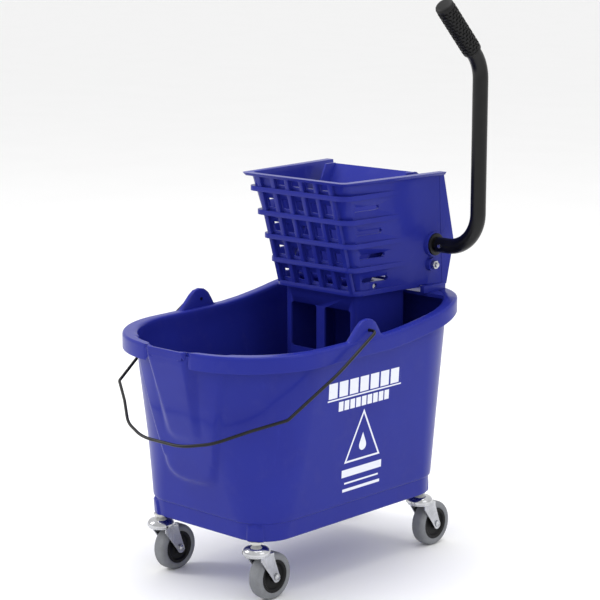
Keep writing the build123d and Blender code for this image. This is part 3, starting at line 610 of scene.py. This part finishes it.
def body_row(z, inset=0.0):
    """One level ring of the wall, channel included."""
    row = []
    for x, y, nx, ny in outline(along(BODY, z), inset):
        amount = swell(x, y, z)
        row.append((x + nx * amount, y + ny * amount, z))
    return row


def rim_points():
    """Per station: wall and rim points, share of the spout and of the blocks beside it."""
    wall = outline(along(BODY, 420), WALL)
    rim = outline(RIM)
    result = []
    for (wx, wy, nx, ny), (rx, ry, _, _) in zip(wall, rim):
        at_front = ry < -200
        spout = smooth((SPOUT_HALF + SPOUT_BLUR - abs(rx)) / SPOUT_BLUR) if at_front else 0.0
        block = smooth((BLOCK_END - abs(rx)) / BLOCK_BLUR) * (1 - spout) if at_front else 0.0
        channel = swell(wx, wy, CHANNEL_RIM_Z)
        result.append((wx + nx * channel, wy + ny * channel, rx, ry, spout, block))
    return result


RIM_POINTS = rim_points()


def rim_row(blend, drop, ear=False, spout_drop=None, spout_blend=None):
    """Ring of the rim: blend 0 at the wall's inner face to 1 at the outer edge, drop below the crown.

    The pouring lip may have a drop and a blend of its own.
    """
    if spout_blend is None:
        spout_blend = blend
    if spout_drop is None:
        spout_drop = LIP_DROP + drop * 0.25
    row = []
    for wx, wy, rx, ry, spout, block in RIM_POINTS:
        reach = lerp(blend, spout_blend, spout)
        x, y = lerp(wx, rx, reach), lerp(wy, ry, reach)
        lower = lerp(drop, spout_drop, spout)
        if blend > 0.7:
            lower = min(lower, lerp(RIM_DROP, BLOCK_DROP, block))
            y += BLOCK_PROUD * block
        y -= SPOUT_REACH * spout * reach
        z = rim_height(y) - lower
        if ear and abs(x) > 150:
            z += along(EAR_PROFILE, y)[0]
        row.append((x, y, z))
    return row


def ear_row(blend, drop):
    """Ring of the rim that follows the ears, drop below their edge."""
    row = []
    for ear, plain in zip(rim_row(blend, 0.0, ear=True), rim_row(blend, 0.0)):
        raised = ear[2] - plain[2] > 0.5
        row.append((ear[0], ear[1], max(ear[2] - drop, plain[2])) if raised else plain)
    return row


def scaled_row(points, share, z):
    """A ring of the floor: a plan drawn in towards the floor's middle."""
    return [(x * share, FLOOR_MIDDLE_Y + (y - FLOOR_MIDDLE_Y) * share, z) for x, y, _, _ in points]


def flat_row(points, z):
    """A plan at one level."""
    return [(x, y, z) for x, y, _, _ in points]


INNER_BEND = 7.0  # radius where the inside floor meets the wall


def inside_rows():
    """Rings from the middle of the inside floor up to the rim."""
    foot_low, foot_high = FOOT[0][1:], FOOT[1][1:]
    floor_z = FLOOR_Z + WALL
    rows = [scaled_row(outline(foot_low, WALL), share, floor_z) for share in (0.35, 0.6, 0.8, 0.93)]
    for degrees in (20, 45, 70, 90):
        turn = math.radians(degrees)
        ring = outline(foot_low, WALL + INNER_BEND * (1 - math.sin(turn)))
        rows.append(flat_row(ring, floor_z + INNER_BEND * (1 - math.cos(turn))))
    rows.append(flat_row(outline(foot_high, WALL), 127))
    rows += [body_row(z, WALL) for z in (133, 142, *range(152, 384, 8), 388, 394)]
    return rows


def rim_rows():
    """Rings over the rim from its inner lip to the root of the skirt."""
    rows = [rim_row(blend, drop) for blend, drop in
            ((0.0, 7.0), (0.02, 3.2), (0.07, 1.6), (0.14, 0.7), (0.24, 0.2), (0.36, 0.0),
             (EAR_INNER - 0.03, 0.0))]
    rows += [ear_row(blend, drop) for blend, drop in
             ((EAR_INNER, 2.2), (EAR_INNER + 0.05, 0.5), (EAR_INNER + 0.12, 0.0),
              (EAR_OUTER - 0.12, 0.0), (EAR_OUTER - 0.05, 0.5), (EAR_OUTER, 2.2))]
    rows.append(rim_row(EAR_OUTER + 0.03, 0.2))
    rows += [rim_row(blend, drop, spout_drop=LIP_DROP + drop * 0.4) for blend, drop in
             ((0.90, 0.5), (0.95, 1.4), (0.985, 2.8), (1.0, 5.0))]
    rows += [rim_row(1.0, drop, spout_drop=LIP_DROP + 2.2 + drop * 0.12)
             for drop in (9, 14, 19, 23.5, 25.4)]
    under = 0.985
    for blend, drop in ((under, 26.0), (0.85, 26.0), (0.82, 25.4), (0.81, 20.0), (0.80, 12.0),
                        (0.76, 7.5), (0.62, 6.0), (0.40, 6.0), (0.30, 7.0), (0.235, 10.0)):
        inward = under - blend
        rows.append(rim_row(blend, drop, spout_drop=6.0 + inward * 9, spout_blend=0.9 - inward * 0.1))
    return rows


def outside_rows():
    """Rings down the outer wall, over the ledge and the foot with its columns, to the underside."""
    foot_low, foot_high = FOOT[0][1:], FOOT[1][1:]
    rows = [[(x, y, rim_height(y) - 15) for x, y, _ in body_row(396)]]
    rows += [body_row(z) for z in (*range(388, 172, -4), 168, 160, 152, 144, 138, 134.5)]
    rows.append([(x, y, LEDGE_Z + 1.2) for x, y, _ in body_row(133, 0.5)])
    rows.append([(x, y, LEDGE_Z) for x, y, _ in body_row(132, 1.6)])
    for z in (130.2, 128, 124, 118, 112, 106, 103.2):
        share = (z - FLOOR_Z) / (LEDGE_Z - FLOOR_Z)
        section = tuple(lerp(a, b, share) for a, b in zip(foot_low, foot_high))
        rows.append(flat_row(columned(outline(section), -6 * smooth((z - 122) / 9)), z))
    for inset, z in ((0.7, FLOOR_Z + 0.7), (2.2, FLOOR_Z)):
        rows.append(flat_row(columned(outline(foot_low, inset), -inset), z))
    rows += [scaled_row(outline(foot_low), share, FLOOR_Z) for share in (0.85, 0.55)]
    return rows


def ring_grid(rows):
    """Vertices and faces of a closed surface made of rings, its first and last ring capped."""
    vertices = [place(*point) for row in rows for point in row]
    return vertices, rings(len(rows), len(rows[0])) + caps(len(rows), len(rows[0]))


SHELF_FRONT_Y, SHELF_LOW_Z, SHELF_HIGH_Z = 206.0, 433.4, 439.0
SHELF_EDGE = ((2.0, SHELF_LOW_Z), (0.0, SHELF_LOW_Z + 2), (0.0, SHELF_HIGH_Z - 1.5),
              (0.5, SHELF_HIGH_Z - 0.5), (1.6, SHELF_HIGH_Z))


def rear_shelf():
    """Shelf across the rear of the bucket, level with the rim there."""
    wall = outline(along(BODY, 436), WALL - 1)
    arc = [(x, y) for x, y, _, _ in wall if y > SHELF_FRONT_Y]
    rows = []
    for inset, z in SHELF_EDGE:
        edge_y = SHELF_FRONT_Y + inset
        rows.append([(x, max(y, edge_y) if y < SHELF_FRONT_Y + 4 else y, z) for x, y in arc])
    return ring_grid(rows)


BOSS = ((2, 9.0), (43, 9.0), (45.2, 8.4), (46, 7))
bosses = [solid_lathe(BOSS, place(side * stem_x, stem_y, FLOOR_Z), (0, 0, 1), 48)
          for stem_x, stem_y in STEMS for side in (-1, 1)]
bucket_mesh = join(ring_grid(inside_rows() + rim_rows() + outside_rows()), rear_shelf(), *bosses)
mesh_object("bucket_shell", *bucket_mesh, bucket_blue.material, "root", "bucket_plastic", ("bucket",),
            sharp=50)


# ---------------------------------------------------------------- pieces that follow a node's own form
WELD = 2e-6  # metres within which a node's corners are one
FLAT = math.radians(1.2)  # faces closer than this are merged into one
EDGE = math.radians(28)  # edges sharper than this are rounded


def softened(name, node, material, body, width):
    """A copy of a node with its flat faces merged and its edges rounded, width in millimetres."""
    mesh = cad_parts[node].data.copy()
    mesh.name = name
    work = bmesh.new()
    work.from_mesh(mesh)
    bmesh.ops.remove_doubles(work, verts=work.verts, dist=WELD)
    bmesh.ops.dissolve_degenerate(work, dist=WELD / 2, edges=work.edges)
    bmesh.ops.dissolve_limit(work, angle_limit=FLAT, verts=work.verts, edges=work.edges)
    edges = [edge for edge in work.edges if len(edge.link_faces) == 2
             and edge.calc_face_angle(0) > EDGE and edge.calc_length() > width * MM * 0.8]
    bmesh.ops.bevel(work, geom=edges, offset=width * MM, segments=2, profile=0.5, affect="EDGES",
                    clamp_overlap=True)
    bmesh.ops.triangulate(work, faces=[face for face in work.faces if len(face.verts) > 4])
    work.to_mesh(mesh)
    work.free()
    finish_piece(name, mesh, material, body, (node,), sharp=30)


softened("wringer_basket", "wringer_housing", wringer_blue.material, "wringer", 0.9)
softened("press_plate_moulding", "press_plate", wringer_blue.material, "plate", 0.9)


# ---------------------------------------------------------------- bail
# Half of the wire's run: distance from the mid-plane, and reach from the ears' axis along its droop
BAIL_HALF = ((181.6, 0), (207, 0), (206, 100), (189, 213), (142, 250), (95, 292), (44, 312))
BAIL_BENDS = (0, 8, 300, 7, 60, 90, 110)
BAIL_RADIUS = 2.58
DROOP = math.radians(31.5)


def bail_point(x, reach):
    return (x, BAIL_Y - reach * math.cos(DROOP), BAIL_Z - reach * math.sin(DROOP))


corners = [bail_point(-x, reach) for x, reach in BAIL_HALF]
corners += [bail_point(x, reach) for x, reach in reversed(BAIL_HALF)]
bail_path = rounded_path(corners, BAIL_BENDS + BAIL_BENDS[::-1], 1.5)
mesh_object("bail_wire", *tube(bail_path, BAIL_RADIUS, 18), wire_black.material, "bail", "black_paint",
            ("bail",), sharp=60)

# ---------------------------------------------------------------- lever
SHAFT = (224.0, 520.0)  # y and z of the cross shaft
LEVER_X = 208.6
LEVER_INNER_X = 125.0
LEVER_RADIUS = 12.7
LEVER_BEND = 60.0
ELBOW_Z = 822.0
TIP_REACH = 134.0
GRIP_LENGTH = 106.0
GRIP_PAST_TIP = 4.0
GRIP = ((0, 13.2), (0, 14.6), (0.8, 15.4), (3.6, 15.6), (4.6, 14.3), (98.6, 14.3), (99.8, 15.4),
        (102, 15.4), (104.2, 14.4), (105.5, 12.4), (GRIP_LENGTH, 9))
FLANGE = ((108, 10.1), (124, 10.1), (124, 17.4), (123.7, 18.1), (123, 18.5), (120.4, 18.5), (120.0, 18.2),
          (120, 13), (108, 13))
CAP = ((125, 10.1), (125, 13.2), (125.6, 13.9), (130, 13.9), (131.4, 13), (132, 11))

grip_way = Vector((0, -1, 1)).normalized()
elbow = Vector((LEVER_X, SHAFT[0], ELBOW_Z))
lever_tip = elbow + grip_way * TIP_REACH
lever_path = rounded_path(((LEVER_INNER_X, *SHAFT), (LEVER_X, *SHAFT), elbow, lever_tip),
                          (LEVER_BEND,) * 4, 4)
mesh_object("lever_bent_tube", *tube(lever_path, LEVER_RADIUS, 40), powder_black.material, "lever",
            "black_paint", ("lever_tube",), sharp=60)

grip_base = lever_tip - grip_way * (GRIP_LENGTH - GRIP_PAST_TIP)
mesh_object("lever_grip_sleeve", *solid_lathe(GRIP, place(*grip_base), grip_way, 56),
            grip_rubber.material, "lever", "black_rubber", ("lever_grip",))


class Nodes(Builder):
    """A geometry node tree whose sizes are named inputs."""

    def __init__(self, name, sizes):
        self.tree = bpy.data.node_groups.new(name, "GeometryNodeTree")
        self.tree.interface.new_socket("Geometry", in_out="OUTPUT", socket_type="NodeSocketGeometry")
        self.identifiers = {}
        for label, value in sizes.items():
            kind = "NodeSocketInt" if isinstance(value, int) else "NodeSocketFloat"
            socket = self.tree.interface.new_socket(label, in_out="INPUT", socket_type=kind)
            self.identifiers[label] = socket.identifier
        self.inputs = self.tree.nodes.new("NodeGroupInput")
        self.sizes = sizes

    def size(self, label):
        return Socket(self.tree, self.inputs.outputs[label])

    def build(self, result, material):
        """Realise the result, give it its material and return the finished mesh."""
        real = self.add("GeometryNodeRealizeInstances", Geometry=result)
        painted = self.add("GeometryNodeSetMaterial", Geometry=real)
        painted.socket.node.inputs["Material"].default_value = material
        out = self.tree.nodes.new("NodeGroupOutput")
        self.tree.links.new(painted.socket, out.inputs[0])
        carrier = bpy.data.objects.new("carrier", bpy.data.meshes.new("carrier"))
        bpy.context.scene.collection.objects.link(carrier)
        modifier = carrier.modifiers.new("nodes", "NODES")
        modifier.node_group = self.tree
        for label, value in self.sizes.items():
            modifier[self.identifiers[label]] = value
        view = bpy.context.evaluated_depsgraph_get()
        mesh = bpy.data.meshes.new_from_object(carrier.evaluated_get(view))
        bpy.data.objects.remove(carrier)
        return mesh


def ring_of(nodes, item, around, rows, radius, start, pitch, twist):
    """Copies of an item in rings round the Z axis, each ring turned a little from the last."""
    index = nodes.add("GeometryNodeInputIndex")
    row = (index / around).maths("FLOOR")
    place_in_row = index - row * around
    turn = (place_in_row + row * twist) * math.tau / around
    spot = nodes.add("ShaderNodeCombineXYZ", X=turn.maths("COSINE") * radius,
                     Y=turn.maths("SINE") * radius, Z=start + row * pitch)
    line = nodes.add("GeometryNodeMeshLine", Count=around * rows)
    points = nodes.add("GeometryNodeSetPosition", Geometry=line, Position=spot)
    facing = nodes.add("ShaderNodeCombineXYZ", Z=turn)
    return nodes.add("GeometryNodeInstanceOnPoints", Points=points, Instance=item, Rotation=facing)


stud_nodes = Nodes("grip_studs", {"Around": 12, "Rows": 15, "Radius": 0.0145, "Start": 0.0085,
                                  "Pitch": 0.0061, "Stud Depth": 0.0028, "Stud Width": 0.0048,
                                  "Stud Length": 0.0040})
around, rows, radius, start, pitch, depth, width, length = map(stud_nodes.size, stud_nodes.sizes)
stud = stud_nodes.add("GeometryNodeMeshCube",
                      Size=stud_nodes.add("ShaderNodeCombineXYZ", X=depth, Y=width, Z=length))
stud = stud_nodes.add("GeometryNodeSubdivisionSurface", Mesh=stud, Level=2, Edge_Crease=0.55)
studs = ring_of(stud_nodes, stud, around, rows, radius, start, pitch, 0.5)
stud_mesh = stud_nodes.build(studs, grip_rubber.material)
grip_turn = grip_way.to_track_quat("Z", "Y").to_matrix().to_4x4()
stud_mesh.transform(Matrix.Translation(place(*grip_base)) @ grip_turn)
finish_piece("lever_grip_studs", stud_mesh, grip_rubber.material, "lever")

for name, side in (("right", 1), ("left", -1)):
    mesh_object(f"shaft_flange_{name}", *lathe(FLANGE, place(0, *SHAFT), (side, 0, 0), 56),
                black_nylon.material, "wringer", "black_plastic", (f"shaft_bushing_{name}",))
mesh_object("shaft_cap", *solid_lathe(CAP, place(0, *SHAFT), (-1, 0, 0), 40), black_nylon.material,
            "lever", "black_plastic", ("shaft_end_cap",))


# ---------------------------------------------------------------- small hardware that keeps its node
def kept(node, look):
    """A node shown as it is, with its own material."""
    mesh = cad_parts[node].data
    mesh.materials.clear()
    mesh.materials.append(look.material)


for node in ("anchor_bolts", "anchor_nuts"):
    softened(f"{node}_plated", node, zinc.material, "wringer", 0.35)
for node in ("press_shaft", "crank_arm_right", "crank_arm_left", "crank_pins", "plate_hinge_rod",
             "lever_pin"):
    kept(node, zinc)
kept("crank_rollers", black_nylon)
for node in ("return_spring_right", "return_spring_left"):
    kept(node, spring_steel)

# ---------------------------------------------------------------- casters
WHEEL_RADIUS = 38.1
TRAIL = 29.8
DOME = ((85.1, 5.7), (85.1, 20.4), (80.8, 20.6), (80.6, 21.0), (80.6, 22.0), (80.9, 22.4), (84.5, 22.5),
        (86.5, 21.8), (88.6, 20.4), (90.6, 18.3), (92.0, 15.6), (93.1, 12.6), (93.8, 10.2), (94.8, 8.9),
        (95.4, 8.3), (95.4, 5.7))
COLLAR = ((95.5, 5.6), (95.5, 8.2), (96.2, 8.9), (99.2, 11.6), (99.9, 11.95), (101, 12.0), (101, 8.1),
          (137, 8.1), (137, 5.6))


def both_sides(half):
    """A closed profile from its half: the other half mirrored along the axis."""
    return half + tuple((-position, radius) for position, radius in reversed(half))


HUB = both_sides(((12.8, 4.1), (12.8, 7.2), (12.4, 8), (8.2, 9.0), (7.4, 10.2), (7.2, 12), (7.2, 18.6),
                  (7.6, 20), (10.2, 21.6), (10.9, 22.4), (11.2, 26.6)))
TYRE = both_sides(((10.6, 26.7), (11.5, 27.2), (12, 28.2), (12, 31.0), (11.8, 33.0), (11.1, 35.0),
                   (9.9, 36.6), (8.2, 37.6), (6, 38.05), (2.2, WHEEL_RADIUS)))

(front_x, front_y), (rear_x, rear_y) = STEMS
for corner, x, y in (("front_right", front_x, front_y), ("front_left", -front_x, front_y),
                     ("rear_right", rear_x, rear_y), ("rear_left", -rear_x, rear_y)):
    stem, hub = place(x, y, 0), place(x, y + TRAIL, WHEEL_RADIUS)
    fork, wheel = f"fork_{corner}", f"wheel_{corner}"
    mesh_object(f"dome_{corner}", *lathe(DOME, stem, (0, 0, 1), 56), bright_plate.material,
                "root", "chrome", (f"caster_dome_{corner}",))
    mesh_object(f"collar_{corner}", *lathe(COLLAR, stem, (0, 0, 1), 40), white_nylon.material,
                "root", "white_plastic", (f"caster_collar_{corner}",))
    mesh_object(f"hub_{corner}", *lathe(HUB, hub, (1, 0, 0), 56), hub_nylon.material,
                wheel, "black_plastic", (f"wheel_hub_{corner}",))
    mesh_object(f"tyre_{corner}", *lathe(TYRE, hub, (1, 0, 0), 80), tyre_rubber.material,
                wheel, "tyre_grey", (f"wheel_tyre_{corner}",))
    softened(f"fork_{corner}_pressed", f"caster_fork_{corner}", zinc.material, fork, 0.6)
    softened(f"axle_{corner}_bolt", f"caster_axle_{corner}", zinc.material, fork, 0.5)
    kept(f"caster_stem_{corner}", zinc)
    kept(f"caster_balls_{corner}", bright_plate)

# ---------------------------------------------------------------- camera, light and floor
CAMERA = (2168.9, -2308.3, 1062.9)
CAMERA_AZIMUTH = math.radians(43.218) - 0.005
CAMERA_PITCH = math.radians(11.83)
FLOOR_HALF = 80.0  # metres
WHITE = (1.0, 1.0, 1.0, 1.0)
WORLD_STRENGTH = 0.95

camera_data = bpy.data.cameras.new("camera")
camera_data.sensor_width = 36.0
camera_data.lens = 118.8
camera_data.shift_y = 0.042
camera_data.clip_end = 300
camera = bpy.data.objects.new("camera", camera_data)
bpy.context.scene.collection.objects.link(camera)
camera.location = place(*CAMERA)
camera.rotation_euler = (math.radians(90) - CAMERA_PITCH, 0, CAMERA_AZIMUTH)
bpy.context.scene.camera = camera

floor_mesh = bpy.data.meshes.new("floor")
floor_mesh.from_pydata([(-FLOOR_HALF, -FLOOR_HALF, 0), (FLOOR_HALF, -FLOOR_HALF, 0),
                        (FLOOR_HALF, FLOOR_HALF, 0), (-FLOOR_HALF, FLOOR_HALF, 0)], [], [(0, 1, 2, 3)])
floor_look = Shader("floor_paper")
paper = floor_look.mix(floor_look.noise(3.0), (0.93, 0.93, 0.93, 1), (0.96, 0.96, 0.96, 1))
floor_look.set(Base_Color=paper, Roughness=0.85 + floor_look.noise(8.0) * 0.05)
floor_mesh.materials.append(floor_look.material)
floor = bpy.data.objects.new("floor", floor_mesh)
bpy.context.scene.collection.objects.link(floor)


def area_light(name, location, target, size, power):
    """A rectangular light in metres and watts, turned to its target."""
    data = bpy.data.lights.new(name, "AREA")
    data.shape = "RECTANGLE"
    data.size, data.size_y = size
    data.energy = power
    lamp = bpy.data.objects.new(name, data)
    bpy.context.scene.collection.objects.link(lamp)
    lamp.location = location
    lamp.rotation_euler = (Vector(target) - Vector(location)).to_track_quat("-Z", "Y").to_euler()


area_light("key", (-2.4, -1.9, 2.3), (0, 0, 0.5), (1.0, 1.6), 46)
area_light("fill", (2.8, 0.2, 1.8), (0, 0, 0.4), (1.8, 1.8), 10)
area_light("top", (0.1, 0.2, 3.2), (0, 0, 0.4), (2.2, 2.2), 44)
world = bpy.data.worlds.new("world")
world.use_nodes = True
background = world.node_tree.nodes["Background"]
background.inputs[0].default_value = WHITE
background.inputs[1].default_value = WORLD_STRENGTH
bpy.context.scene.world = world
bpy.context.scene.view_settings.view_transform = "Standard"
